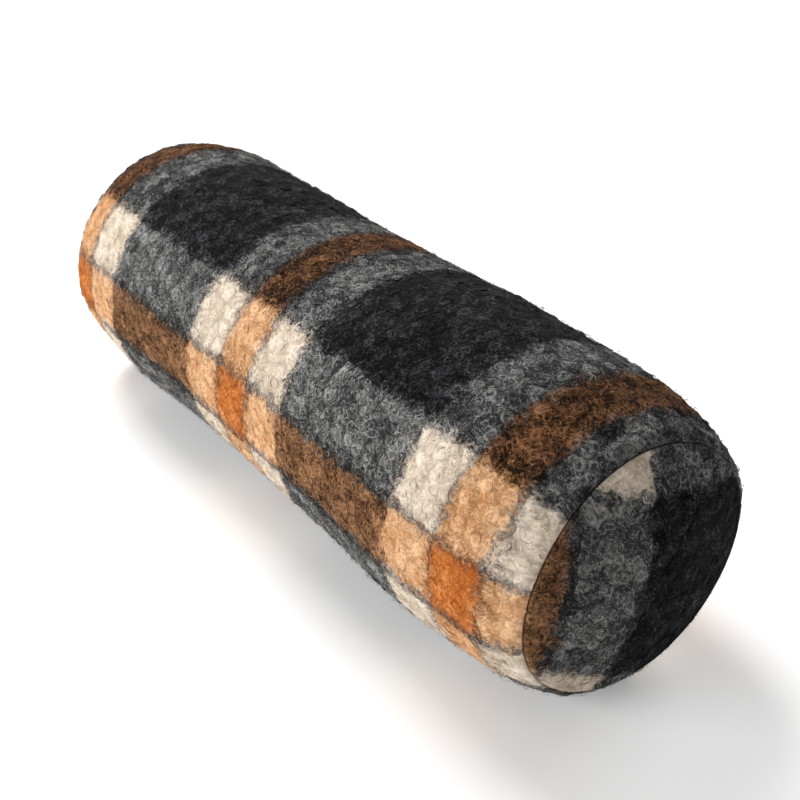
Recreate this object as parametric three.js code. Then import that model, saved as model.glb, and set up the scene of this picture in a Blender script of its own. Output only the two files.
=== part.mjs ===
// A bolster cushion lying on its side: a stuffed tube of thick wool cloth with a round panel sewn in at
// each end. Millimetres. X runs along the bolster, from the far end to the near one, Z is up and the
// cushion lies on Z = 0. Angles run round the tube from its top (0) towards -Y (90 degrees).
import * as THREE from 'three';

// Driving sizes.
const clothThickness = 3;      // curly wool cloth, with its pile pressed flat
const stitchGap = 0.35;        // air between an end panel and the stuffed tube behind it
const crownHeight = 15;        // how far the middle of an end stands out past its seam
const axisHeight = 90;         // the tube's axis above the surface that it lies on
const sagShare = 0.9525;       // its own weight makes the section this much lower than it is wide
const restSoftness = 2;        // over this height the underside turns from round to flat
const lipWidth = 5.6;          // the cloth's edge, turned in at the seam
const lipDepth = 0.9;          // how far the turned edge dips behind the seam
const edgeThickness = 0.45;    // an end panel's edge, pinched by the stitches
const edgeInset = 0.4;         // from the seam's radius to the end panel's edge
const rollWidth = 4;           // over this width the panel's edge rolls down to the seam

// The tube section by section, from the far seam to the near one. along is X, radius is half the width and
// rise is how far the section's middle lies above the axis. It is slimmest near the middle of its length.
const sections = [
  { along: -281, radius: 87.0, rise: -1.1 },
  { along: -278, radius: 92.3, rise: -1.0 },
  { along: -272, radius: 95.7, rise: -0.9 },
  { along: -262, radius: 98.3, rise: -0.8 },
  { along: -245, radius: 101.0, rise: -0.5 },
  { along: -220, radius: 103.1, rise: -0.1 },
  { along: -185, radius: 103.7, rise: 0.3 },
  { along: -140, radius: 102.9, rise: 0.7 },
  { along: -80, radius: 101.0, rise: 1.2 },
  { along: -20, radius: 100.3, rise: 1.4 },
  { along: 40, radius: 101.5, rise: 1.4 },
  { along: 100, radius: 103.1, rise: 1.2 },
  { along: 150, radius: 103.6, rise: 0.8 },
  { along: 190, radius: 102.5, rise: 0.3 },
  { along: 225, radius: 100.0, rise: -0.2 },
  { along: 250, radius: 96.8, rise: -0.7 },
  { along: 262, radius: 94.0, rise: -0.9 },
  { along: 272, radius: 90.5, rise: -1.1 },
  { along: 278, radius: 87.3, rise: -1.3 },
  { along: 280, radius: 84.6, rise: -1.3 },
];

// Soft lumps where the filling has settled. height is in millimetres, along and round say how often each
// one repeats over the length and round the tube, and turn is where it starts, in turns.
const lumps = [
  { height: 0.9, along: 1.5, round: 2, turn: 0.15 },
  { height: 0.6, along: 3.5, round: 3, turn: 0.55 },
  { height: 0.5, along: 5.0, round: 1, turn: 0.80 },
];

// The seams aren't quite flat rings: they wander along X by these waves.
const seamWaves = [
  { height: 1.2, round: 2, turn: 0.86 },
  { height: 0.9, round: 3, turn: 0.71 },
];
const waveReach = 40;          // how far from a seam its wander still moves the cloth

const roundSteps = 48;         // faces round the tube
const crownSteps = 4;          // rings over the crown of an end
const finestStep = 26;         // longest step along the tube

const farSeam = sections[0];
const nearSeam = sections[sections.length - 1];
const tubeLength = nearSeam.along - farSeam.along;

// Slope of a section's value at row k: the mean of the slopes on both sides that can't overshoot.
function slopeAt(k, name) {
  const chord = (i) => (sections[i + 1][name] - sections[i][name]) / (sections[i + 1].along - sections[i].along);
  if (k === 0) return chord(0);
  if (k === sections.length - 1) return chord(k - 1);
  const before = chord(k - 1);
  const after = chord(k);
  return before * after <= 0 ? 0 : 2 * before * after / (before + after);
}

// A smooth line through the sections' values, held at its end value past the seams.
function sectionAt(along, name) {
  if (along <= farSeam.along) return farSeam[name];
  if (along >= nearSeam.along) return nearSeam[name];
  const k = sections.findIndex((s) => s.along > along) - 1;
  const from = sections[k];
  const to = sections[k + 1];
  const span = to.along - from.along;
  const t = (along - from.along) / span;
  const rise = to[name] - from[name];
  const startBend = slopeAt(k, name) * span - rise;
  const endBend = rise - slopeAt(k + 1, name) * span;
  return from[name] + t * rise + t * (1 - t) * ((1 - t) * startBend + t * endBend);
}

// Fades from 1 at either seam to 0 at waveReach from it.
function nearASeam(along) {
  const away = Math.min(Math.abs(along - farSeam.along), Math.abs(along - nearSeam.along));
  return 1 - THREE.MathUtils.smoothstep(away, 0, waveReach);
}

// The underside is pressed flat on the surface below it.
function pressedFlat(z) {
  const turn = Math.max(restSoftness - Math.abs(z), 0) / restSoftness;
  return Math.max(z, 0) + turn * turn * restSoftness / 4;
}

// How far the filling's lumps push the cloth out.
function lumpAt(along, angle) {
  const share = (along - farSeam.along) / tubeLength;
  let swell = 0;
  for (const l of lumps) {
    swell += l.height * Math.sin(2 * Math.PI * (l.along * share + l.turn)) * Math.cos(l.round * angle);
  }
  return swell;
}

// How far a seam wanders along X at this angle.
function wanderAt(angle) {
  let wander = 0;
  for (const w of seamWaves) wander += w.height * Math.sin(w.round * angle + 2 * Math.PI * w.turn);
  return wander;
}

// Where a point of the cushion lies: along the axis, this far out from it, at this angle round it. Stitches
// hold the ends, so the lumps fade there, and the wander fades towards the middle of an end panel.
function place(along, outward, angle) {
  const seamed = nearASeam(along);
  const share = outward / nearSeam.radius;
  const out = outward + (1 - seamed) * share * lumpAt(along, angle);
  const z = axisHeight + sectionAt(along, 'rise') + out * Math.cos(angle) * sagShare;
  return [along + seamed * share ** 2 * wanderAt(angle), -out * Math.sin(angle), pressedFlat(z)];
}

// Distance of an end panel's outer face past its seam, at this distance from the axis.
function crownAt(outward, seam) {
  return crownHeight * (1 - (outward / seam.radius) ** 2);
}

// The stuffed tube's own end, behind the panel: the turned-in lip and then the crown under the cloth.
function endOfStuffing(seam, side) {
  const lipFoot = seam.radius - lipWidth;
  const points = [[seam.radius - lipWidth / 2, -lipDepth]];
  for (let k = crownSteps; k >= 1; k -= 1) {
    const outward = lipFoot * k / crownSteps;
    points.push([outward, crownAt(outward, seam) - clothThickness - stitchGap]);
  }
  points.push([0, crownHeight - clothThickness - stitchGap]);
  return points.map(([outward, past]) => [seam.along + side * past, outward]);
}

// A closed mesh from a profile of [along, outward] pairs carried round the axis. The profile starts and
// ends on the axis, and its faces point outwards when it runs from the far end to the near one.
function carriedRound(profile) {
  const positions = [];
  const faces = [];
  const rings = profile.slice(1, -1);
  for (const [along, outward] of rings) {
    for (let k = 0; k < roundSteps; k += 1) {
      positions.push(...place(along, outward, 2 * Math.PI * k / roundSteps));
    }
  }
  const first = positions.length / 3;
  positions.push(...place(...profile[0], 0));
  const last = positions.length / 3;
  positions.push(...place(...profile[profile.length - 1], 0));
  for (let k = 0; k < roundSteps; k += 1) {
    const next = (k + 1) % roundSteps;
    faces.push(first, next, k);
    for (let r = 0; r + 1 < rings.length; r += 1) {
      const a = r * roundSteps + k;
      const b = r * roundSteps + next;
      faces.push(a, b, a + roundSteps, b, b + roundSteps, a + roundSteps);
    }
    const lastRing = (rings.length - 1) * roundSteps;
    faces.push(last, lastRing + k, lastRing + next);
  }
  const geometry = new THREE.BufferGeometry();
  geometry.setAttribute('position', new THREE.Float32BufferAttribute(positions, 3));
  geometry.setIndex(faces);
  geometry.computeVertexNormals();
  return geometry;
}

// The stuffed tube: one solid, with its long seam underneath.
function stuffedTube() {
  const profile = endOfStuffing(farSeam, -1).reverse();
  for (let i = 0; i + 1 < sections.length; i += 1) {
    const span = sections[i + 1].along - sections[i].along;
    const steps = Math.ceil(span / finestStep);
    for (let k = 0; k < steps; k += 1) {
      const along = sections[i].along + span * k / steps;
      profile.push([along, sectionAt(along, 'radius')]);
    }
  }
  profile.push([nearSeam.along, nearSeam.radius], ...endOfStuffing(nearSeam, 1));
  return carriedRound(profile);
}

// A round end panel: a domed sheet of cloth that lies on the stuffing, its edge rolled down to the seam.
function endPanel(seam, side) {
  const inner = endOfStuffing(seam, side).map(([along, outward]) => [along + side * stitchGap, outward]);
  const edge = seam.radius - edgeInset;
  const lipSlope = lipDepth / (lipWidth / 2);
  const edgeAlong = seam.along + side * (stitchGap - lipSlope * edgeInset);
  const outer = [[edgeAlong + side * edgeThickness, edge]];
  const rollFoot = edge - rollWidth;
  for (let k = crownSteps; k >= 1; k -= 1) {
    const outward = rollFoot * k / crownSteps;
    outer.push([seam.along + side * crownAt(outward, seam), outward]);
  }
  outer.push([seam.along + side * crownHeight, 0]);
  const profile = [...inner.reverse(), [edgeAlong, edge], ...outer];
  return carriedRound(side > 0 ? profile : profile.reverse());
}

const wool = (colour) => new THREE.MeshStandardMaterial({ color: colour, roughness: 0.95, metalness: 0 });

const cushion = new THREE.Group();
const pieces = [
  ['stuffed_tube', stuffedTube(), wool(0x4b4744)],
  ['near_end_panel', endPanel(nearSeam, 1), wool(0x3a3a3b)],
  ['far_end_panel', endPanel(farSeam, -1), wool(0x3f3d3b)],
];
for (const [name, geometry, material] of pieces) {
  const mesh = new THREE.Mesh(geometry, material);
  mesh.name = name;
  cushion.add(mesh);
}

export default cushion;
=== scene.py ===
import bpy
import numpy as np
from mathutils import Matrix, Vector


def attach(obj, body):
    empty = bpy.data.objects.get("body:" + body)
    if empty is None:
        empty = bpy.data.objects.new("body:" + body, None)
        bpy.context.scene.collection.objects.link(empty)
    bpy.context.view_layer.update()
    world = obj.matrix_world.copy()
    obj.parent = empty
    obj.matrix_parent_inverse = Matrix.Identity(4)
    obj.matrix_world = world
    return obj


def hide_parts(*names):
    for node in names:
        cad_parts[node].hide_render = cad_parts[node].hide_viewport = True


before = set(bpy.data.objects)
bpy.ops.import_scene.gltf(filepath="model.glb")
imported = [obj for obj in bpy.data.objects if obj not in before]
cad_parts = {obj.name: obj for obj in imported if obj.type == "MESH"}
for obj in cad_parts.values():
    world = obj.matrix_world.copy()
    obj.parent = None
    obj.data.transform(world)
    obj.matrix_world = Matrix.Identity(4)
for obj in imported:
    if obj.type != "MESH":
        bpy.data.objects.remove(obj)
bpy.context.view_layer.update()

mm = 0.001
tau = 2 * np.pi

# The camera stands where the photograph's did
cameraPlace = {
    "azimuth": 54.62,       # degrees round from -Y towards +X
    "elevation": 30.15,     # degrees above the floor
    "distance": 0.8808,     # metres from the point it looks at
    "aim": (0.0510, 0.0, 0.0916),
    "lens": 57.69,
    "focus": 0.80,
    "stop": 16,
}


def addObject(name, data):
    # an object of the scene that holds this mesh, lamp or camera
    holder = bpy.data.objects.new(name, data)
    bpy.context.scene.collection.objects.link(holder)
    return holder


def setInputs(node, values):
    # plain values straight on a node's sockets
    for socket, value in values.items():
        node.inputs[socket].default_value = value


def turnTo(holder, direction):
    # lamps and cameras look along their own -Z
    holder.rotation_mode = "QUATERNION"
    holder.rotation_quaternion = direction.to_track_quat("-Z", "Y")


def makeCamera():
    # the aim plus the distance along the direction of the azimuth and the elevation
    turn, lift = np.radians(cameraPlace["azimuth"]), np.radians(cameraPlace["elevation"])
    back = Vector((np.sin(turn) * np.cos(lift), -np.cos(turn) * np.cos(lift), np.sin(lift)))
    lens = bpy.data.cameras.new("photoCamera")
    lens.lens = cameraPlace["lens"]
    lens.dof.use_dof = True
    lens.dof.focus_distance = cameraPlace["focus"]
    lens.dof.aperture_fstop = cameraPlace["stop"]
    camera = addObject("photoCamera", lens)
    camera.location = Vector(cameraPlace["aim"]) + back * cameraPlace["distance"]
    turnTo(camera, -back)
    bpy.context.scene.camera = camera


# Studio: a pale floor that glows a little, an even white surround and three soft lamps
studio = {
    "floorSize": 14.0,
    "floorLook": {"Base Color": (0.94, 0.94, 0.94, 1), "Roughness": 0.9,
                  "Emission Color": (1, 1, 1, 1), "Emission Strength": 0.25},
    "surround": {"Color": (1, 1, 1, 1), "Strength": 0.18},
    "lampAim": (0, 0, 0.1),
    "lamps": [
        # name, place, width, watts
        ("frontLamp", (-1.1, -4.3, 1.3), 3.2, 176),
        ("topLamp", (-1.3, 0.2, 1.7), 1.3, 50),
        ("backLamp", (-0.6, 4.4, 3.0), 3.0, 94),
    ],
}


def makeStudio():
    # a square sheet at z = 0, and discs of light that face the same point
    half = studio["floorSize"] / 2
    corners = [(-half, -half, 0), (half, -half, 0), (half, half, 0), (-half, half, 0)]
    sheet = bpy.data.meshes.new("studioFloor")
    sheet.from_pydata(corners, [], [(0, 1, 2, 3)])
    floor = addObject("studioFloor", sheet)
    paint = bpy.data.materials.new("floorPaint")
    paint.use_nodes = True
    setInputs(paint.node_tree.nodes["Principled BSDF"], studio["floorLook"])
    sheet.materials.append(paint)
    world = bpy.data.worlds.new("studioAir")
    world.use_nodes = True
    setInputs(world.node_tree.nodes["Background"], studio["surround"])
    bpy.context.scene.world = world
    bpy.context.scene.view_settings.view_transform = "Standard"
    for name, place, width, watts in studio["lamps"]:
        lamp = bpy.data.lights.new(name, "AREA")
        lamp.shape = "DISK"
        lamp.size = width
        lamp.energy = watts
        holder = addObject(name, lamp)
        holder.location = place
        turnTo(holder, Vector(studio["lampAim"]) - Vector(place))


# The stuffed form, in millimetres. Angles run round it from the top (0) towards -Y.
stuffing = {
    "axisHeight": 90,
    "sag": 0.9525,          # the section is this much lower than it is wide
    "restSoftness": 2,      # the underside turns flat over this height
    "crown": 15,            # how far an end stands out past its seam
    "waveReach": 40,        # how far from a seam its wander moves the cloth
    "sections": np.array([
        # along, radius, rise of the middle
        (-281, 87.0, -1.1), (-278, 92.3, -1.0), (-272, 95.7, -0.9), (-262, 98.3, -0.8),
        (-245, 101.0, -0.5), (-220, 103.1, -0.1), (-185, 103.7, 0.3), (-140, 102.9, 0.7),
        (-80, 101.0, 1.2), (-20, 100.3, 1.4), (40, 101.5, 1.4), (100, 103.1, 1.2),
        (150, 103.6, 0.8), (190, 102.5, 0.3), (225, 100.0, -0.2), (250, 96.8, -0.7),
        (262, 94.0, -0.9), (272, 90.5, -1.1), (278, 87.3, -1.3), (280, 84.6, -1.3),
    ]),
    "lumps": [
        # height, repeats along, repeats round, start in turns
        (0.9, 1.5, 2, 0.15), (0.6, 3.5, 3, 0.55), (0.5, 5.0, 1, 0.80),
    ],
    "seamWaves": [
        # height, repeats round, start in turns
        (1.2, 2, 0.86), (0.9, 3, 0.71),
    ],
}
farSeam, nearSeam = stuffing["sections"][0], stuffing["sections"][-1]


def smoothTable(rows, column, at):
    # a cubic through the table whose slope at a row is the harmonic mean of the chords beside it
    places, values = rows[:, 0], rows[:, column]
    chords = np.diff(values) / np.diff(places)
    product = chords[:-1] * chords[1:]
    total = np.where(product > 0, chords[:-1] + chords[1:], 1)
    slopes = np.concatenate([chords[:1], np.where(product > 0, 2 * product / total, 0), chords[-1:]])
    k = np.clip(np.searchsorted(places, at, side="right") - 1, 0, len(places) - 2)
    span = places[k + 1] - places[k]
    rise = values[k + 1] - values[k]
    t = np.clip((at - places[k]) / span, 0, 1)
    bend = (1 - t) * (slopes[k] * span - rise) + t * (rise - slopes[k + 1] * span)
    return values[k] + t * rise + t * (1 - t) * bend


def smoothStep(low, high, x):
    # 0 below low and 1 above high, with a level start and end: 3 times the square less 2 times the cube
    t = np.clip((x - low) / (high - low), 0, 1)
    return t * t * (3 - 2 * t)


def pressFlat(z):
    # zero below the surface, a short parabola across it and unchanged above
    soft = stuffing["restSoftness"]
    turn = np.maximum(soft - np.abs(z), 0) / soft
    return np.maximum(z, 0) + turn ** 2 * soft / 4


def placePoints(along, outward, angle):
    # a ring of this radius round the axis, lowered by the sag and pushed by the lumps and the seams' waves
    share = (along - farSeam[0]) / (nearSeam[0] - farSeam[0])
    away = np.minimum(np.abs(along - farSeam[0]), np.abs(along - nearSeam[0]))
    seamed = 1 - smoothStep(0, stuffing["waveReach"], away)
    lumps, waves = stuffing["lumps"], stuffing["seamWaves"]
    swell = sum(h * np.sin(tau * (a * share + turn)) * np.cos(r * angle) for h, a, r, turn in lumps)
    wander = sum(h * np.sin(r * angle + tau * turn) for h, r, turn in waves)
    part = outward / nearSeam[1]
    out = outward + (1 - seamed) * part * swell
    rise = smoothTable(stuffing["sections"], 2, along)
    z = stuffing["axisHeight"] + rise + out * np.cos(angle) * stuffing["sag"]
    return beside(along + seamed * part ** 2 * wander, -out * np.sin(angle), z)


def arcLength(line):
    # the sum of the chords up to each point
    return np.concatenate([[0], np.cumsum(np.linalg.norm(np.diff(line, axis=0), axis=1))])


def beside(*parts):
    # the parts as the last axis of one array
    return np.stack(parts, axis=-1)


def gridOf(down, across):
    # both values at every point of a grid
    return np.meshgrid(down, across, indexing="ij")


def resample(points, step):
    # even steps along a polyline
    arc = arcLength(points)
    even = np.linspace(0, arc[-1], int(round(arc[-1] / step)) + 1)
    return beside(*(np.interp(even, arc, column) for column in points.T))


# Where the tube's cloth turns in at a seam, and the end panel's rolled edge: how far past the seam and how
# far out from it, in mm
tubeLip = np.array([(0.2, -0.7), (-0.6, -1.5), (-2.0, -2.4), (-3.0, -7.0)])
panelEdge = np.array([
    (1.9, -5.0), (1.95, -3.4), (1.6, -2.3), (0.9, -1.6), (0.1, -1.35), (-0.7, -2.2), (-1.1, -5.0),
])
panelRim = 4                                # the row of the edge that lies along the seam
coreShares = np.array([0.75, 0.4, 0.0])     # rings of an inner face, as shares of the seam's radius


def crownAt(outward, seam):
    # a parabola over the radius, highest in the middle and level with the seam at its edge
    return stuffing["crown"] * (1 - (outward / seam[1]) ** 2)


# One repeat of the plaid each way, in mm: start is where the first band begins. Along is the position along
# the bolster, and round is 100 mm for each radian round it. The cloth's two edges meet underneath, in black.
plaid = {
    "along": {"start": -21.5, "bands": [
        ("orange", 35), ("line", 4), ("cream", 38.5), ("black", 125), ("cream", 38.5), ("line", 4)]},
    "round": {"start": -150.1, "bands": [
        ("black", 226), ("cream", 48.4), ("line", 6.1), ("orange", 42.7), ("line", 7.2), ("cream", 48.76)]},
    "yarns": ["black", "cream", "orange", "line"],
    "crossings": {
        # yarn along, yarn round: colour of the ground, colour of the fibres over it, how much of them shows.
        # The line crosses the others the same either way.
        ("black", "black"): ((0.003, 0.0031, 0.0036), (0.078, 0.079, 0.083), 0.22),
        ("cream", "black"): ((0.018, 0.0184, 0.0192), (0.3, 0.297, 0.29), 0.3),
        ("black", "cream"): ((0.025, 0.0255, 0.0262), (0.345, 0.34, 0.33), 0.34),
        ("orange", "black"): ((0.009, 0.0045, 0.0024), (0.29, 0.13, 0.058), 0.33),
        ("black", "orange"): ((0.027, 0.011, 0.0045), (0.36, 0.18, 0.086), 0.47),
        ("cream", "cream"): ((0.48, 0.38, 0.28), (0.76, 0.66, 0.545), 0.54),
        ("orange", "cream"): ((0.41, 0.185, 0.068), (0.76, 0.48, 0.28), 0.48),
        ("cream", "orange"): ((0.45, 0.21, 0.082), (0.77, 0.5, 0.295), 0.48),
        ("orange", "orange"): ((0.34, 0.08, 0.012), (0.68, 0.27, 0.08), 0.44),
        ("line", "black"): ((0.01, 0.0105, 0.011), (0.18, 0.18, 0.18), 0.2),
        ("line", "cream"): ((0.09, 0.084, 0.083), (0.42, 0.38, 0.335), 0.28),
        ("line", "orange"): ((0.08, 0.046, 0.03), (0.4, 0.215, 0.12), 0.3),
        ("line", "line"): ((0.04, 0.038, 0.04), (0.28, 0.265, 0.26), 0.25),
    },
    "lean": 4,              # the bands round the tube lean by this much along it
    "leanTurn": 0.5,        # where that lean starts, in radians
    "roundScale": 100,      # mm of cloth for each radian
}

# The curls of the wool
curls = {
    "pitch": 10.0,          # mm from curl to curl
    "randomness": 0.95,
    "ring": 2.7,            # radius of a curl's ring
    "ringWidth": 1.4,
    "relief": 0.75,         # height of a curl over the gaps
    "strength": (0.35, 0.85),   # its least share of that, and what chance adds
    "moundWidth": 0.36,     # these three are shares of the pitch
    "gapFrom": 0.38,
    "gapTo": 0.62,
    "gapDepth": 0.3,
    "felted": 0.4,          # share of the relief where both yarns are black, which lie flatter
    "feltedReach": 12,      # mm inside the black over which that comes in
    "seamFlat": 0.3,        # the stitches hold the pile down this near a seam,
    "seamFade": 4.5,        # and it is free from here on
    "seamPull": 0.25,       # they draw the cloth in by this much, over the reach
    "seamReach": 1.6,
}


def curlCentres(cloth):
    # Blender's own Voronoi texture at these places on the plaid, in mm, so that the relief, the loose curls
    # and the material's rosettes share their centres
    count = cloth.size // 2
    probe = bpy.data.meshes.new("curlProbe")
    probe.vertices.add(count)
    places = np.zeros((count, 3), np.float32)
    places[:, :2] = cloth.reshape(-1, 2) * mm
    probe.vertices.foreach_set("co", places.ravel())
    holder = addObject("curlProbe", probe)
    tree = bpy.data.node_groups.new("curlProbe", "GeometryNodeTree")
    for way in ("INPUT", "OUTPUT"):
        tree.interface.new_socket("Geometry", in_out=way, socket_type="NodeSocketGeometry")
    incoming, outgoing = tree.nodes.new("NodeGroupInput"), tree.nodes.new("NodeGroupOutput")
    position = tree.nodes.new("GeometryNodeInputPosition")
    cells = addCells(tree, position.outputs[0], curls["pitch"], curls["randomness"])
    store = tree.nodes.new("GeometryNodeStoreNamedAttribute")
    store.data_type = "FLOAT_VECTOR"
    setInputs(store, {"Name": "curlCentre"})
    tree.links.new(incoming.outputs[0], store.inputs["Geometry"])
    tree.links.new(cells.outputs["Position"], store.inputs["Value"])
    tree.links.new(store.outputs["Geometry"], outgoing.inputs[0])
    holder.modifiers.new("curlProbe", "NODES").node_group = tree
    finished = holder.evaluated_get(bpy.context.evaluated_depsgraph_get()).data
    centres = np.zeros(count * 3, np.float32)
    finished.attributes["curlCentre"].data.foreach_get("vector", centres)
    bpy.data.objects.remove(holder)
    bpy.data.meshes.remove(probe)
    bpy.data.node_groups.remove(tree)
    return centres.reshape(-1, 3)[:, :2].astype(float).reshape(cloth.shape) / mm


def chanceAt(centres, salt):
    # a fixed chance from 0 to 1 for each curl, the fraction of a large sine of its place; the salt keeps the
    # chances for different uses apart
    wave = np.sin(centres[..., 0] * 12.9898 + centres[..., 1] * 78.233 + salt) * 43758.5453
    return wave - np.floor(wave)


def blackShare(cloth):
    # how far both yarns are black here, from 0 to 1: the product of the two ways, each the smaller distance
    # inside the black band over its reach
    shares = []
    for place, way in ((cloth[..., 0], plaid["along"]), (cloth[..., 1], plaid["round"])):
        widths = [width for _, width in way["bands"]]
        black = [yarn for yarn, _ in way["bands"]].index("black")
        inside = np.mod(place - way["start"], sum(widths)) - sum(widths[:black])
        within = np.minimum(inside, widths[black] - inside)
        shares.append(np.clip(within / curls["feltedReach"], 0, 1))
    return shares[0] * shares[1]


def pileRelief(cloth, seamAway):
    # a mound or a ring round each curl's centre, lower in the gaps, in the black and beside a seam
    centres = curlCentres(cloth)
    away = np.linalg.norm(cloth - centres, axis=-1)
    strength = curls["strength"][0] + curls["strength"][1] * chanceAt(centres, 1.0)
    pitted = chanceAt(centres, 2.0)
    mound = np.exp(-(away / (curls["moundWidth"] * curls["pitch"])) ** 2)
    ring = np.exp(-((away - curls["ring"]) / curls["ringWidth"]) ** 2)
    gap = smoothStep(curls["gapFrom"] * curls["pitch"], curls["gapTo"] * curls["pitch"], away)
    gap = curls["gapDepth"] * gap
    fade = smoothStep(curls["seamFlat"], curls["seamFade"], seamAway)
    fade = fade * (1 - (1 - curls["felted"]) * blackShare(cloth))
    drawn = curls["seamPull"] * np.exp(-(seamAway / curls["seamReach"]) ** 2)
    return curls["relief"] * (strength * (mound * (1 - pitted) + ring * pitted) - gap) * fade - drawn


# The tube's cloth. A face of cloth is a dictionary: points() turns flat cloth positions, in mm, into points
# of the frame, toPlaid() turns them into places on the plaid, and facing is the side its normal takes.
tubeCloth = {
    "step": 2.05,           # mm between rings of the mesh
    "fineStep": 0.5,        # mm between places where the profile is worked out
    "columns": 308,         # faces round it
    "coreDepth": 5,         # mm from an end's dome to the inner face behind it
}


def makeTubeFace():
    # the profile: far core, far lip, the sections, near lip, near core
    fine = np.arange(farSeam[0], nearSeam[0] + tubeCloth["fineStep"] / 2, tubeCloth["fineStep"])
    body = resample(beside(fine, smoothTable(stuffing["sections"], 1, fine)), tubeCloth["step"])
    ends = []
    for seam, side in ((farSeam, -1), (nearSeam, 1)):
        lip = beside(seam[0] + side * tubeLip[:, 0], seam[1] + tubeLip[:, 1])
        outward = coreShares * seam[1]
        inward = crownAt(outward, seam) - tubeCloth["coreDepth"]
        core = beside(seam[0] + side * inward, outward)
        ends.append(np.concatenate([lip, core]))
    line = np.concatenate([ends[0][::-1], body, ends[1]])
    arc = arcLength(line)
    first, last = len(ends[0]), len(ends[0]) + len(body) - 1
    arc -= np.interp(0, body[:, 0], arc[first:last + 1])

    def points(u, v):
        angle = v / plaid["roundScale"]
        return placePoints(np.interp(u, arc, line[:, 0]), np.interp(u, arc, line[:, 1]), angle)

    return {
        "points": points,
        "toPlaid": lambda cloth: cloth,
        "fromPlaid": lambda cloth: cloth,
        "seamAway": lambda cloth: np.minimum(cloth[..., 0] - arc[first], arc[last] - cloth[..., 0]),
        "facing": 1,
        "rings": arc,
        "seams": (arc[first], arc[last]),
        "filled": lambda cloth: np.zeros(cloth.shape[:-1]),
    }


# The end panels: how each round was cut out of the cloth. The bands that cross it lean by leanAlong and
# those that stand on it by leanRound, in degrees, and its middle lies on the plaid at middle, in mm. The
# standing bands bow sideways, by bow times the square of the height over the middle, and the others arch, by
# arch times the square of the distance beside it. The near round has one short shallow pucker high up.
endCloth = {
    "step": 2.0,            # as for the tube
    "columns": 264,
    "profilePoints": 60,    # places where the dome is worked out
    "thickness": 2.6,
    "near": {"leanAlong": 22.1, "leanRound": 9.3, "middle": (121.9, 237.5), "bow": 0.0007, "arch": -0.0015,
             "pucker": {"at": (-16, 72), "length": 8, "width": 1.8, "depth": 1.4}},
    "far": {"leanAlong": -6, "leanRound": -4, "middle": (-126.0, 92.0), "bow": 0.0008, "arch": 0.0,
            "pucker": {"at": (0, 0), "length": 1, "width": 1, "depth": 0}},
}


def makeEndFace(seam, side, cut):
    # the profile: from the middle of the crown over the rolled edge to the middle of the inner face
    outward = np.linspace(0, seam[1] + panelEdge[0, 1], endCloth["profilePoints"])
    dome = resample(beside(crownAt(outward, seam), outward), endCloth["step"])[:-1]
    edge = panelEdge + np.array([0, seam[1]])
    outward = coreShares * seam[1]
    inner = beside(crownAt(outward, seam) - endCloth["thickness"], outward)
    line = np.concatenate([dome, edge, inner])
    arc = arcLength(line)
    rim = arc[len(dome) + panelRim]
    leanAlong, leanRound = np.radians(cut["leanAlong"]), np.radians(cut["leanRound"])
    # rows: plaid along, plaid round; columns: cloth right, cloth up
    turned = np.array([[np.sin(leanAlong), np.cos(leanAlong)], [np.cos(leanRound), -np.sin(leanRound)]])

    def points(right, up):
        away = np.hypot(right, up)
        past = side * np.interp(away, arc, line[:, 0])
        return placePoints(seam[0] + past, np.interp(away, arc, line[:, 1]), np.arctan2(-right, up))

    def puckered(cloth):
        # a groove that is a bell across and a longer one along
        away = (cloth - np.array(cut["pucker"]["at"])) / (cut["pucker"]["width"], cut["pucker"]["length"])
        return -cut["pucker"]["depth"] * np.exp(-(away ** 2).sum(axis=-1))

    def bowed(cloth):
        # right by the bow, then up by the arch; straightened undoes both in turn
        right = cloth[..., 0] + cut["bow"] * cloth[..., 1] ** 2
        return beside(right, cloth[..., 1] + cut["arch"] * right ** 2)

    def straightened(cloth):
        up = cloth[..., 1] - cut["arch"] * cloth[..., 0] ** 2
        return beside(cloth[..., 0] - cut["bow"] * up ** 2, up)

    return {
        "points": points,
        "toPlaid": lambda cloth: bowed(cloth) @ turned.T + cut["middle"],
        "fromPlaid": lambda cloth: straightened((cloth - cut["middle"]) @ np.linalg.inv(turned).T),
        "seamAway": lambda cloth: rim - np.linalg.norm(cloth, axis=-1),
        "facing": -side,
        "rings": arc,
        "rim": rim,
        "filled": puckered,
    }


def unit(arrows):
    # the same directions with length 1
    return arrows / np.maximum(np.linalg.norm(arrows, axis=-1, keepdims=True), 1e-9)


def liftedPoints(face, cloth, lift):
    # the face's point plus lift along its normal, the cross product of its slopes over a short step
    u, v = cloth[..., 0], cloth[..., 1]
    step = 0.4      # mm
    acrossU = face["points"](u + step, v) - face["points"](u - step, v)
    acrossV = face["points"](u, v + step) - face["points"](u, v - step)
    normal = unit(np.cross(acrossV, acrossU) * face["facing"])
    lifted = face["points"](u, v) + normal * np.asarray(lift)[..., None]
    lifted[..., 2] = pressFlat(lifted[..., 2])
    return lifted, normal


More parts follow.
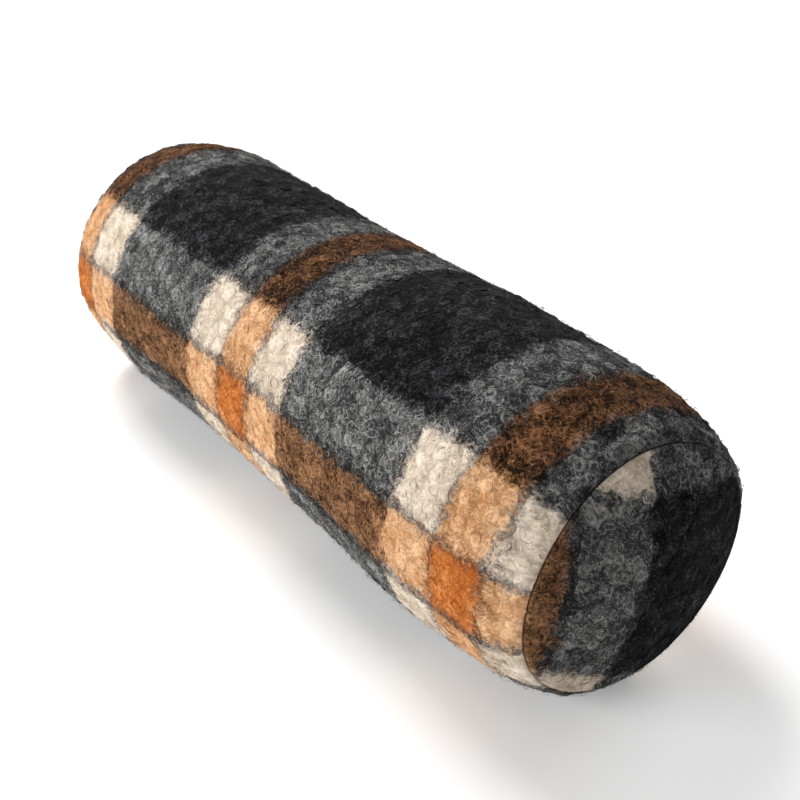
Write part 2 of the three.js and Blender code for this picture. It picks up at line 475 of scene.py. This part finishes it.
def meshFromArrays(name, points, corners, counts, maps, chances=None):
    # corners holds the faces' vertex numbers one after another, and counts says how many each face has
    mesh = bpy.data.meshes.new(name)
    mesh.vertices.add(len(points))
    mesh.vertices.foreach_set("co", (points * mm).astype(np.float32).ravel())
    mesh.loops.add(len(corners))
    mesh.loops.foreach_set("vertex_index", corners.astype(np.int32))
    mesh.polygons.add(len(counts))
    starts = np.concatenate([[0], np.cumsum(counts)[:-1]])
    mesh.polygons.foreach_set("loop_start", starts.astype(np.int32))
    mesh.polygons.foreach_set("use_smooth", np.ones(len(counts), bool))
    mesh.update(calc_edges=True)
    for mapName, places in maps.items():
        layer = mesh.uv_layers.new(name=mapName)
        layer.data.foreach_set("uv", places.astype(np.float32).ravel())
    if chances is not None:
        mesh.attributes.new("chance", "FLOAT", "POINT").data.foreach_set("value", chances.astype(np.float32))
    return addObject(name, mesh)


def closedSkin(name, rings, poles, cloth, poleCloth, flipped):
    # rings of points joined by four-sided faces, and a fan at each pole; cloth has one column more than
    # rings, where the maps meet. The map for baking is the cloth over its extent.
    rows, columns = rings.shape[:2]
    points = np.concatenate([rings.reshape(-1, 3), poles])
    clothFlat = np.concatenate([cloth.reshape(-1, 2), poleCloth])
    row, column = (grid.ravel() for grid in gridOf(np.arange(rows - 1), np.arange(columns)))
    ring = np.arange(columns)

    def cornersAt(wide):
        # the faces' corners where a row has this many numbers; the extra column leaves the row open
        after, nextRing, lastRow = (column + 1) % wide, (ring + 1) % wide, (rows - 1) * wide
        here, below = row * wide, (row + 1) * wide
        quads = beside(here + column, here + after, below + after, below + column)
        fans = np.concatenate([
            beside(np.full(columns, rows * wide), nextRing, ring),
            beside(np.full(columns, rows * wide + 1), lastRow + ring, lastRow + nextRing),
        ])
        if flipped:
            quads, fans = quads[:, ::-1], fans[:, ::-1]
        return np.concatenate([quads.ravel(), fans.ravel()])

    clothCorners = cornersAt(columns + 1)
    counts = np.concatenate([np.full(len(row), 4), np.full(2 * columns, 3)])
    bake = (clothFlat - clothFlat.min(axis=0)) / np.ptp(clothFlat, axis=0)
    maps = {"cloth": clothFlat[clothCorners] * mm, "OFBake": bake[clothCorners]}
    return meshFromArrays(name, points, cornersAt(columns), counts, maps)


# The tube's cover is filled by Blender's cloth, on a coarse copy that is held at both seams
filling = {
    "rows": 84,
    "columns": 90,
    "smaller": 3.0,         # mm that the copy starts inside the finished form
    "spareCloth": 0.035,    # share by which the cover was cut larger than the form
    "pressure": 4.0,
    "quality": 5,           # steps for each frame
    "frames": 20,
    "cap": 1.5,             # mm that the filled cover may stand off the form, either way
    "seamFade": 7.0,        # mm from a seam over which it comes back to the form
}


def fillCover(face):
    # how far the filled cover stands off the form, in mm, at a place on the cloth: the copy's moves along
    # its normals, less their median, read between the points of its grid
    u = np.linspace(*face["seams"], filling["rows"])
    angles = np.linspace(-np.pi, np.pi, filling["columns"] + 1)
    cloth = beside(*gridOf(u, angles * plaid["roundScale"]))
    start, normal = liftedPoints(face, cloth[:, :-1], np.full(cloth[:, :-1].shape[:-1], -filling["smaller"]))
    poles = start[[0, -1]].mean(axis=1)
    copy = closedSkin("coverCopy", start, poles, cloth, cloth[[0, -1], 0], flipped=False)
    count = start.shape[0] * start.shape[1]
    fixed = np.arange(count).reshape(start.shape[:2])[[0, -1]].ravel().tolist()
    copy.vertex_groups.new(name="seams").add(fixed + [count, count + 1], 1.0, "REPLACE")
    cover = copy.modifiers.new("filling", "CLOTH")
    cover.settings.quality = filling["quality"]
    cover.settings.use_pressure = True
    cover.settings.uniform_pressure_force = filling["pressure"]
    cover.settings.effector_weights.gravity = 0
    cover.settings.vertex_group_mass = "seams"
    cover.settings.shrink_min = -filling["spareCloth"]
    scene = bpy.context.scene
    for number in range(1, filling["frames"] + 1):
        scene.frame_set(number)
    ended = copy.evaluated_get(bpy.context.evaluated_depsgraph_get()).data
    places = np.zeros(len(ended.vertices) * 3, np.float32)
    ended.vertices.foreach_get("co", places)
    moved = places.reshape(-1, 3)[:-2].reshape(start.shape) / mm
    stand = ((moved - start) * normal).sum(axis=-1)
    print("cover filled: moves from", stand.min().round(2), "to", stand.max().round(2), "mm")
    stand = np.clip(stand - np.median(stand), -filling["cap"], filling["cap"])
    stand = np.concatenate([stand, stand[:, :1]], axis=1)
    bpy.data.objects.remove(copy)
    scene.frame_set(1)

    def standAt(place):
        # the four points of the copy round this place, each by its nearness
        row = np.minimum(np.interp(place[..., 0], u, np.arange(len(u))), len(u) - 1.001)
        column = np.interp(place[..., 1] / plaid["roundScale"], angles, np.arange(len(angles)))
        column = np.minimum(column, len(angles) - 1.001)
        r, c = row.astype(int), column.astype(int)
        down, across = row - r, column - c
        above = stand[r, c] * (1 - across) + stand[r, c + 1] * across
        below = stand[r + 1, c] * (1 - across) + stand[r + 1, c + 1] * across
        held = smoothStep(0, filling["seamFade"], face["seamAway"](place))
        return (above * (1 - down) + below * down) * held

    return standAt


def makeSkin(name, face, cloth, poleCloth):
    # each flat place of the grid and of the poles on the face, the grid lifted by the pile and the filling
    places = face["toPlaid"](cloth)
    lift = pileRelief(places, face["seamAway"](cloth)) + face["filled"](cloth)
    rings, _ = liftedPoints(face, cloth[:, :-1], lift[:, :-1])
    poles = face["points"](poleCloth[:, 0], poleCloth[:, 1])
    return closedSkin(name, rings, poles, places, face["toPlaid"](poleCloth), flipped=face["facing"] < 0)


def makeTube(face):
    # the grid runs over the whole length and once round
    angles = np.linspace(-np.pi, np.pi, tubeCloth["columns"] + 1)
    cloth = beside(*gridOf(face["rings"][1:-1], angles * plaid["roundScale"]))
    return makeSkin("bolsterTube", face, cloth, np.array([(face["rings"][0], 0), (face["rings"][-1], 0)]))


def makeEndPanel(name, face):
    # the grid's rows are rings about the middle, over the edge and back to the middle of the inner face
    angles = np.linspace(-np.pi, np.pi, endCloth["columns"] + 1)
    away, angle = gridOf(face["rings"][1:-1], angles)
    cloth = beside(-away * np.sin(angle), away * np.cos(angle))
    return makeSkin(name, face, cloth, np.array([(0.0, 0.0), (face["rings"][-1], 0)]))


# Loose strands of wool, three-sided and pointed. The curls are locks of a few strands that circle a curl's
# centre, and the fuzz stands anywhere. Density counts strands on 1000 square mm, carried is the share of the
# curls that carry them, points lie along a strand, turn is in degrees, and the rest in mm.
loose = {
    "curls": {"density": 28, "carried": 0.7, "points": 7, "turn": (90, 250), "radius": (1.8, 5.0),
              "thickness": (0.13, 0.27), "height": (0.25, 1.1)},
    "fuzz": {"density": 58, "carried": 1.0, "points": 5, "turn": (20, 120), "radius": (1.0, 4.0),
             "thickness": (0.06, 0.12), "height": (0.4, 2.9)},
    "pieces": 2,            # pieces of each kind on the tube
    "seeds": {"tube": 20, "ends": 40},
    "floorClear": 2.5,      # no strand starts lower than this
    "floorGap": 0.05,       # and none comes nearer to the floor
    "seamClear": 1.0,       # nor starts nearer to a seam, or reaches further over it
    "lockSpread": 0.38,     # radians that the strands of one lock start apart
    "lockShare": 0.72,      # how far they take one radius
    "lockPlace": 0.6,       # mm that their middles lie apart
    "lockTone": 0.65,       # how far they take one tone
    "spiral": 0.5,          # how far a strand's radius changes along it, either way
    "flatness": (0.65, 1.0),
    "uneven": 0.12,         # mm
    "tallness": 1.6,        # the power that makes tall strands rarer
    "steepness": 0.7,       # a low power makes a strand's two ends steep
    "rootDepth": 0.15,      # mm that its ends lie in the cloth
    "heldDown": 0.35,       # share of its height at a seam
    "cellMargin": 0.15,     # round a strand in its cell of the map for baking
}


def strandPiece(name, face, area, kind, pieces, seed):
    # each strand is an arc that rises from the cloth and comes back to it
    wool = loose[kind]
    chance = np.random.default_rng(seed)
    low, high = area
    wanted = int(np.prod(high - low) * wool["density"] / wool["carried"] / 1000 / pieces)
    roots = chance.uniform(low, high, (wanted, 2))
    roots = roots[chanceAt(curlCentres(face["toPlaid"](roots)), 7.0) < wool["carried"]]
    roots = roots[face["seamAway"](roots) > loose["seamClear"]]
    bare, _ = liftedPoints(face, roots, np.zeros(len(roots)))
    roots = roots[bare[:, 2] > loose["floorClear"]]
    count = len(roots)
    turn = np.radians(chance.uniform(*wool["turn"], count)) * chance.choice([-1, 1], count)
    radius = chance.uniform(*wool["radius"], count)
    thickness = chance.uniform(*wool["thickness"], count)
    height = wool["height"][0] + chance.uniform(0, 1, count) ** loose["tallness"] * np.ptp(wool["height"])
    start = chance.uniform(0, tau, count)
    middle = roots - radius[:, None] * beside(np.cos(start), np.sin(start))
    if kind == "curls":
        centres = curlCentres(face["toPlaid"](roots))
        start = tau * chanceAt(centres, 3.0) + chance.normal(0, loose["lockSpread"], count)
        turn = np.abs(turn) * np.where(chanceAt(centres, 4.0) < 0.5, 1, -1)
        middle = face["fromPlaid"](centres) + chance.normal(0, loose["lockPlace"], (count, 2))
        shared = wool["radius"][0] + chanceAt(centres, 6.0) * np.ptp(wool["radius"])
        radius += loose["lockShare"] * (shared - radius)
    spiral = chance.uniform(-loose["spiral"], loose["spiral"], count)
    flat = chance.uniform(*loose["flatness"], count)
    tilt = chance.uniform(0, np.pi, count)
    t = np.linspace(0, 1, wool["points"])
    angle = start[:, None] + turn[:, None] * t
    away = radius[:, None] * (1 + spiral[:, None] * (t - 0.5))
    across, down = away * np.cos(angle), away * np.sin(angle) * flat[:, None]
    cos, sin = np.cos(tilt)[:, None], np.sin(tilt)[:, None]
    path = middle[:, None, :] + beside(across * cos - down * sin, across * sin + down * cos)
    path += chance.normal(0, loose["uneven"], path.shape)
    rise = np.sin(np.pi * t) ** loose["steepness"]
    fade = smoothStep(0.0, curls["seamFade"], face["seamAway"](path))
    depth, held = loose["rootDepth"], loose["heldDown"]
    lift = -depth + (height[:, None] * rise + depth) * (held + (1 - held) * fade)
    inside = face["seamAway"](path).min(axis=1) > -loose["seamClear"]
    path, lift, thickness = path[inside], lift[inside], thickness[inside]
    lift = lift + face["filled"](path)
    line, normal = liftedPoints(face, path, lift)
    along = unit(np.gradient(line, axis=1))
    side = unit(np.cross(along, normal))
    up = np.cross(along, side)
    width = thickness[:, None] * (0.5 + 0.5 * np.sin(np.pi * t))    # from half of it to all of it
    corner = np.arange(3) * tau / 3
    shape = (side[:, 1:-1, None] * np.cos(corner)[:, None] + up[:, 1:-1, None] * np.sin(corner)[:, None])
    rings = line[:, 1:-1, None] + shape * width[:, 1:-1, None, None]
    rings[..., 2] = np.maximum(rings[..., 2], loose["floorGap"])
    tones = loose["lockTone"] * chanceAt(curlCentres(face["toPlaid"](path[:, 0])), 5.0)
    tones += chance.uniform(0, 1 - loose["lockTone"], len(path))
    return strandMesh(name, face, line, rings, path[:, 0], tones)


def strandMesh(name, face, line, rings, roots, chances):
    # the rings' corners and the two tips of every strand, joined by the same faces for each; a corner's
    # number is three times its ring plus its column. For baking, each strand lies unrolled in its own cell
    # of a square.
    strands, count = rings.shape[:2]
    points = np.concatenate([rings.reshape(strands, -1, 3), line[:, :1], line[:, -1:]], axis=1)
    each = points.shape[1]
    r, c = (grid.ravel() for grid in gridOf(np.arange(count - 1), np.arange(3)))
    quadRing = beside(r, r, r + 1, r + 1)
    quadColumn = beside(c, c + 1, c + 1, c)
    quads = quadRing * 3 + quadColumn % 3
    c = np.arange(3)
    tipRing = np.repeat([[-1, 0, 0], [count, count - 1, count - 1]], 3, axis=0)
    tipColumn = np.stack([[c + 0.5, c + 1, c], [c + 0.5, c, c + 1]]).transpose(0, 2, 1).reshape(-1, 3)
    tips = (tipRing * 3 + tipColumn % 3).astype(int)
    tips[:3, 0], tips[3:, 0] = each - 2, each - 1
    offsets = (np.arange(strands) * each)[:, None]
    corners = np.concatenate([(offsets + quads.ravel()).ravel(), (offsets + tips.ravel()).ravel()])
    counts = np.concatenate([np.full(strands * len(quads), 4), np.full(strands * len(tips), 3)])
    side = int(np.ceil(np.sqrt(strands)))
    cell = beside(np.arange(strands) % side, np.arange(strands) // side)[:, None]

    def unrolled(ring, column):
        # the ring goes along the cell and the column across it
        local = beside((ring.ravel() + 1) / (count + 1), column.ravel() / 3)
        margin = loose["cellMargin"]
        return ((cell + margin + (1 - 2 * margin) * local) / side).reshape(-1, 2)

    places = np.repeat(face["toPlaid"](roots), each, axis=0)
    bake = np.concatenate([unrolled(quadRing, quadColumn), unrolled(tipRing, tipColumn)])
    maps = {"cloth": places[corners] * mm, "OFBake": bake}
    return meshFromArrays(name, points.reshape(-1, 3), corners, counts, maps, np.repeat(chances, each))


# Materials. The first functions add a node each, with a socket or a plain value for every input, and
# operation is Blender's own name for it.
def addNode(tree, kind, values=(), **settings):
    node = tree.nodes.new("ShaderNode" + kind)
    for setting, value in settings.items():
        setattr(node, setting, value)
    for socket, value in dict(values).items():
        if isinstance(value, bpy.types.NodeSocket):
            tree.links.new(value, node.inputs[socket])
        else:
            node.inputs[socket].default_value = value
    return node


def maths(tree, operation, *values):
    return addNode(tree, "Math", enumerate(values), operation=operation).outputs[0]


def vectors(tree, operation, *values):
    node = addNode(tree, "VectorMath", enumerate(values), operation=operation)
    return node.outputs["Value" if operation == "LENGTH" else "Vector"]


def flatScaled(tree, arrow, by):
    # that many times its X and Y, with Z left out
    return vectors(tree, "MULTIPLY", arrow, (by, by, 0))


def mapped(tree, value, low, high, toLow=0.0, toHigh=1.0):
    # a smooth step from toLow to toHigh
    values = {"Value": value, "From Min": low, "From Max": high, "To Min": toLow, "To Max": toHigh}
    return addNode(tree, "MapRange", values, interpolation_type="SMOOTHSTEP").outputs["Result"]


def mixed(tree, share, first, second, blend="MIX"):
    # inputs 6 and 7 and output 2 of a Mix node are its colours
    values = {0: share, 6: first, 7: second}
    return addNode(tree, "Mix", values, data_type="RGBA", blend_type=blend).outputs[2]


def flatNoise(tree, place, scale, detail):
    # scale counts the waves on a metre
    values = {"Vector": place, "Scale": scale, "Detail": detail}
    return addNode(tree, "TexNoise", values, noise_dimensions="2D")


def addCells(tree, place, pitch, randomness):
    # round cells in a flat grid with its pitch in mm, each centre moved by chance
    values = {"Vector": place, "Scale": 1 / (pitch * mm), "Randomness": randomness}
    return addNode(tree, "TexVoronoi", values, voronoi_dimensions="2D")


def steppedRamp(tree, value, stops):
    # a ramp of hard steps, each given by where it starts and its colour with a fourth value
    ramp = addNode(tree, "ValToRGB", {"Fac": value})
    ramp.color_ramp.interpolation = "CONSTANT"
    elements = ramp.color_ramp.elements
    elements.remove(elements[-1])
    for k, (at, colour) in enumerate(stops):
        element = elements[0] if k == 0 else elements.new(at)
        element.position = at
        element.color = colour
    return ramp.outputs["Color"], ramp.outputs["Alpha"]


def yarnAt(tree, place, way):
    # the number of the yarn here, as a fourth for each: the bands of one repeat as steps of a ramp
    widths = [width for _, width in way["bands"]]
    fromStart = maths(tree, "SUBTRACT", place, way["start"] * mm)
    turns = maths(tree, "FRACT", maths(tree, "DIVIDE", fromStart, sum(widths) * mm))
    edges = np.cumsum([0] + widths) / sum(widths)
    levels = [plaid["yarns"].index(yarn) / 4 for yarn, _ in way["bands"]]
    return steppedRamp(tree, turns, [(at, (0, 0, 0, level)) for at, level in zip(edges, levels)])[1]


def makePlaidGroup():
    # the colours of the ground and of the fibres where two yarns cross, looked up by sixteenths, and how much
    # of the fibres shows
    tree = bpy.data.node_groups.new("plaidYarns", "ShaderNodeTree")
    tree.interface.new_socket("Cloth", in_out="INPUT", socket_type="NodeSocketVector")
    for name, kind in (("Ground", "Color"), ("Fibres", "Color"), ("Share", "Float")):
        tree.interface.new_socket(name, in_out="OUTPUT", socket_type="NodeSocket" + kind)
    incoming, outgoing = tree.nodes.new("NodeGroupInput"), tree.nodes.new("NodeGroupOutput")
    split = addNode(tree, "SeparateXYZ", {"Vector": incoming.outputs["Cloth"]})
    turn = maths(tree, "DIVIDE", split.outputs["Y"], plaid["roundScale"] * mm)
    lean = maths(tree, "SINE", maths(tree, "SUBTRACT", turn, plaid["leanTurn"]))
    along = maths(tree, "MULTIPLY_ADD", lean, plaid["lean"] * mm, split.outputs["X"])
    weft, warp = yarnAt(tree, along, plaid["along"]), yarnAt(tree, split.outputs["Y"], plaid["round"])
    crossing = maths(tree, "ADD", maths(tree, "MULTIPLY_ADD", warp, 0.25, 0.5 / 16), weft)
    rows, yarns = plaid["crossings"], plaid["yarns"]
    table = [rows.get((first, second)) or rows[second, first] for first in yarns for second in yarns]
    ground, share = steppedRamp(tree, crossing, [(k / 16, (*row[0], row[2])) for k, row in enumerate(table)])
    fibres, _ = steppedRamp(tree, crossing, [(k / 16, (*row[1], 1)) for k, row in enumerate(table)])
    for name, found in (("Ground", ground), ("Fibres", fibres), ("Share", share)):
        tree.links.new(found, outgoing.inputs[name])
    return tree


def plaidYarns(tree, group, places):
    # the average of the plaid at each of these places
    found = [addNode(tree, "Group", {"Cloth": place}, node_tree=group).outputs for place in places]
    ground, fibres, shows = (found[0][name] for name in ("Ground", "Fibres", "Share"))
    for count, more in enumerate(found[1:], 2):
        ground = mixed(tree, 1 / count, ground, more["Ground"])
        fibres = mixed(tree, 1 / count, fibres, more["Fibres"])
        shows = maths(tree, "ADD", shows, more["Share"])
    return ground, fibres, maths(tree, "DIVIDE", shows, len(places))


# How the wool looks, with its scales in waves on a metre
look = {
    "shine": {"Roughness": 0.95, "Specular IOR Level": 0.02, "Sheen Weight": 0.032,
              "Sheen Roughness": 0.5, "Sheen Tint": (0.95, 0.93, 0.90, 1)},
    "edgeWander": 3.2,      # mm that a band's edge wanders over a few curls
    "wanderScale": 75,
    "edgeFray": 8.0,        # mm that single fibres cross it, and the shares of it taken one by one
    "frayShares": (0.45, 1.0, 1.7, -3.2),
    "frayScale": 480,
    "lockPull": 0.30,       # how far a curl takes the colour of its root
    "curlWarp": 1.5,        # mm that the curls are pulled out of round
    "warpScale": 160,
    "mound": (0.12, 0.66),  # pitches from the middle to its top and its foot
    "ring": (0.10, 0.27, 0.50),     # and to the ring's inside, crest and outside
    "fibreWidth": 0.75,     # mm
    "fibreTurn": 0.9,       # how fast the fibres change on the way round
    "fibreRoughness": 0.55,
    "ownNoise": (31, 17, 23),           # sends each curl to its own part of the noise
    "smallCurls": 6.3,      # mm pitch of the finer curls
    "smallWidth": 0.7,      # mm, of their fibres
    "smallPlace": (0.413, 0.289, 0),    # metres off the others
    "smallRing": 0.5,
    "hairs": [
        # metres off the others, mm of pitch, mm of width
        ((0.731, 0.4386, 0), 17, 0.62), ((0.917, 0.5502, 0), 11, 0.5),
    ],
    "hairLevels": (0.54, 0.68),
    "fibreLevels": (0.34, 0.66),
    "fibrePart": 0.44,      # these three parts make up the light fibres; the ring's part is also a painted highlight on the curls' crests
    "ringPart": 0.26,
    "hairPart": 0.38,
    "patchScale": 55,
    "patchTone": (0.3, 0.7, -0.05, 0.05),   # two values of the noise, and the tone at each
    "curlTone": (0, 1, -0.08, 0.10),        # as for the patches, and so on
    "cover": (0.50, 1.30),  # the sum over which the light fibres cover the ground
    # smallMound and gapShade paint shade into the colour: darker where neither a curl nor a finer curl stands
    "smallMound": 0.8,
    "gapShade": (0.0, 0.7, 0.84, 1.03),
    "bumpParts": (0.6, 0.35, 0.5),      # of the curls, the finer ones and the fibres
    "bumpStrength": 0.5,
    "bumpHeight": 0.8,      # mm
    "felted": (0.22, 0.30, 0.55, 1.0),  # where less of the fibres shows, the bump is lower
    "strandChances": (0.1, 0.95),
    "strandPart": 2.6,
    "strandShade": (0, 1, 0.85, 1.2),
    "shuffle": 7.3,
}


def startWool(name):
    # a material with the wool's dull shine and sheen, its nodes, and the place on the plaid
    material = bpy.data.materials.new(name)
    material.use_nodes = True
    tree = material.node_tree
    shader = tree.nodes["Principled BSDF"]
    setInputs(shader, look["shine"])
    return material, tree, shader, addNode(tree, "UVMap", uv_map="cloth").outputs["UV"]


def colourWool(tree, shader, yarn, shade):
    # the yarn's colour times a grey level: painted shade between the curls on the cloth, a random tone on the
    # strands
    grey = addNode(tree, "CombineColor", {0: shade, 1: shade, 2: shade}).outputs[0]
    tree.links.new(mixed(tree, 1.0, yarn, grey, "MULTIPLY"), shader.inputs["Base Color"])


def wander(tree, cloth, scale, reach):
    # a move by up to reach mm either way, from the colour of a noise
    noise = flatNoise(tree, cloth, scale, 1)
    centred = vectors(tree, "SUBTRACT", noise.outputs["Color"], (0.5, 0.5, 0.5))
    return flatScaled(tree, centred, reach * mm * 2)


def frayedPlaces(tree, cloth):
    # four places round this one, each moved further by two of the channels of one noise
    noise = flatNoise(tree, cloth, look["frayScale"], 2).outputs["Color"]
    noise = addNode(tree, "SeparateColor", {"Color": noise})
    channels = [maths(tree, "SUBTRACT", noise.outputs[k], 0.5) for k in range(3)]
    places = []
    for k, share in enumerate(look["frayShares"]):
        move = addNode(tree, "CombineXYZ", {"X": channels[k % 3], "Y": channels[(k + 1) % 3]}).outputs[0]
        move = flatScaled(tree, move, look["edgeFray"] * share * mm * 2)
        places.append(vectors(tree, "ADD", cloth, move))
    return places


def addRosettes(tree, place, cells, pitch, fibreWidth):
    # fibres round the middle of each cell, as noise that changes fast outwards and slowly round, the mound
    # that they stand on, and the ring on a curl's crest where the colour is lighter: lighter fibres and a
    # painted highlight
    offset = vectors(tree, "SUBTRACT", place, cells.outputs["Position"])
    away = vectors(tree, "LENGTH", offset)
    spoke = flatScaled(tree, vectors(tree, "NORMALIZE", offset), look["fibreTurn"])
    outwards = addNode(tree, "CombineXYZ", {"Z": maths(tree, "DIVIDE", away, fibreWidth * mm)}).outputs[0]
    own = vectors(tree, "MULTIPLY", cells.outputs["Color"], look["ownNoise"])
    place = vectors(tree, "ADD", vectors(tree, "ADD", spoke, outwards), own)
    values = {"Vector": place, "Scale": 1.0, "Detail": 2.0, "Roughness": look["fibreRoughness"]}
    top, foot = (share * pitch * mm for share in look["mound"])
    inside, crest, outside = (share * pitch * mm for share in look["ring"])
    mound = mapped(tree, away, top, foot, 1.0, 0.0)
    inner, outer = mapped(tree, away, inside, crest), mapped(tree, away, crest, outside, 1.0, 0.0)
    return addNode(tree, "TexNoise", values).outputs[0], mound, maths(tree, "MULTIPLY", inner, outer)


def addHairs(tree, cloth, shift, pitch, width):
    # long thin arcs that cross the curls
    place = vectors(tree, "ADD", cloth, shift)
    sweep = addRosettes(tree, place, addCells(tree, place, pitch, 1.0), pitch, width)[0]
    return mapped(tree, sweep, *look["hairLevels"])


def makeClothMaterial(name, group):
    # the plaid's ground, covered by lighter fibres that circle the curls, on a bump of the same curls
    material, tree, shader, cloth = startWool(name)
    bent = vectors(tree, "ADD", cloth, wander(tree, cloth, look["warpScale"], look["curlWarp"]))
    bigCells = addCells(tree, bent, curls["pitch"], curls["randomness"])
    swirl, mound, ring = addRosettes(tree, bent, bigCells, curls["pitch"], look["fibreWidth"])
    moved = vectors(tree, "ADD", bent, look["smallPlace"])
    fineCells = addCells(tree, moved, look["smallCurls"], 1.0)
    fine, fineMound, fineRing = addRosettes(tree, moved, fineCells, look["smallCurls"], look["smallWidth"])
    hairs = maths(tree, "MAXIMUM", *(addHairs(tree, bent, *kind) for kind in look["hairs"]))
    wide = flatNoise(tree, cloth, look["patchScale"], 2).outputs[0]
    own = addNode(tree, "SeparateXYZ", {"Vector": bigCells.outputs["Color"]}).outputs["X"]
    # fibres: the big curls where they stand, the finer ones elsewhere, and the hairs over both
    both = maths(tree, "ADD", maths(tree, "MULTIPLY", swirl, mound),
                 maths(tree, "MULTIPLY", fine, maths(tree, "SUBTRACT", 1.0, mound)))
    # rings: lighter fibres and a painted highlight on the crests of some curls
    rings = maths(tree, "MAXIMUM", maths(tree, "MULTIPLY", ring, own),
                  maths(tree, "MULTIPLY", fineRing, look["smallRing"]))
    fibres = maths(tree, "MULTIPLY", mapped(tree, both, *look["fibreLevels"]), look["fibrePart"])
    fibres = maths(tree, "MULTIPLY_ADD", rings, look["ringPart"], fibres)
    fibres = maths(tree, "MULTIPLY_ADD", hairs, look["hairPart"], fibres)
    # the bands' edges
    pull = vectors(tree, "SUBTRACT", bigCells.outputs["Position"], bent)
    pulled = vectors(tree, "ADD", cloth, flatScaled(tree, pull, look["lockPull"]))
    pulled = vectors(tree, "ADD", pulled, wander(tree, cloth, look["wanderScale"], look["edgeWander"]))
    ground, over, shows = plaidYarns(tree, group, frayedPlaces(tree, pulled))
    # the lighter fibres cover as much of the ground as the crossing shows
    tone = maths(tree, "ADD", mapped(tree, wide, *look["patchTone"]), mapped(tree, own, *look["curlTone"]))
    reach = maths(tree, "ADD", maths(tree, "ADD", fibres, shows), tone)
    yarn = mixed(tree, mapped(tree, reach, *look["cover"]), ground, over)
    # painted shade: darker in the gaps between the curls, a little lighter on their mounds
    lowest = maths(tree, "MAXIMUM", mound, maths(tree, "MULTIPLY", fineMound, look["smallMound"]))
    colourWool(tree, shader, yarn, mapped(tree, lowest, *look["gapShade"]))
    big, small, swirls = look["bumpParts"]
    height = maths(tree, "MULTIPLY_ADD", mound, big, maths(tree, "MULTIPLY", fineMound, small))
    height = maths(tree, "MULTIPLY_ADD", both, swirls, height)
    height = maths(tree, "MULTIPLY", height, mapped(tree, shows, *look["felted"]))
    values = {"Height": height, "Strength": look["bumpStrength"], "Distance": look["bumpHeight"] * mm}
    tree.links.new(addNode(tree, "Bump", values).outputs[0], shader.inputs["Normal"])
    return material


def makeStrandMaterial(name, group):
    # a strand takes the plaid at its root, and its chance says how light it is
    material, tree, shader, cloth = startWool(name)
    chance = addNode(tree, "Attribute", attribute_name="chance").outputs["Fac"]
    ground, over, shows = plaidYarns(tree, group, [cloth])
    light = mapped(tree, chance, *look["strandChances"])
    share = maths(tree, "MULTIPLY", light, maths(tree, "MULTIPLY", shows, look["strandPart"]))
    yarn = mixed(tree, maths(tree, "MINIMUM", share, 1.0), ground, over)
    shuffled = maths(tree, "FRACT", maths(tree, "MULTIPLY", chance, look["shuffle"]))
    colourWool(tree, shader, yarn, mapped(tree, shuffled, *look["strandShade"]))
    return material


def dress(piece, material, slotName, *nodes):
    # its material, and what the frame has to know of it
    piece.data.materials.append(material)
    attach(piece, "root")
    if nodes:
        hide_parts(*nodes)


makeCamera()
makeStudio()
print("camera and studio set")

plaidGroup = makePlaidGroup()
tubeWool = makeClothMaterial("plaidWool", plaidGroup)
curlWool = makeStrandMaterial("plaidCurls", plaidGroup)

tubeFace = makeTubeFace()
tubeFace["filled"] = fillCover(tubeFace)
tube = makeTube(tubeFace)
dress(tube, tubeWool, "plaid_wool", "stuffed_tube")
print("tube cover made:", len(tube.data.polygons), "faces")

ends = [
    ("nearEndPanel", "near_end_panel", nearSeam, 1, endCloth["near"]),
    ("farEndPanel", "far_end_panel", farSeam, -1, endCloth["far"]),
]
for number, (name, node, seam, side, cut) in enumerate(ends):
    face = makeEndFace(seam, side, cut)
    panel = makeEndPanel(name, face)
    dress(panel, tubeWool, "plaid_wool_end", node)
    reach = np.array([face["rim"], face["rim"]])
    for kind in ("curls", "fuzz"):
        seed = loose["seeds"]["ends"] + number
        pile = strandPiece(name + kind.title(), face, (-reach, reach), kind, 1, seed)
        dress(pile, curlWool, "plaid_wool_end")
    print(name, "made:", len(panel.data.polygons), "faces")

half = np.pi * plaid["roundScale"]
area = (np.array([tubeFace["rings"][0], -half]), np.array([tubeFace["rings"][-1], half]))
for number in range(loose["pieces"]):
    for kind in ("curls", "fuzz"):
        seed = loose["seeds"]["tube"] + number
        name = f"tube{kind.title()}{number + 1}"
        pile = strandPiece(name, tubeFace, area, kind, loose["pieces"], seed)
        dress(pile, curlWool, "plaid_wool")
        print("tube", kind, "made:", len(pile.data.polygons), "faces")
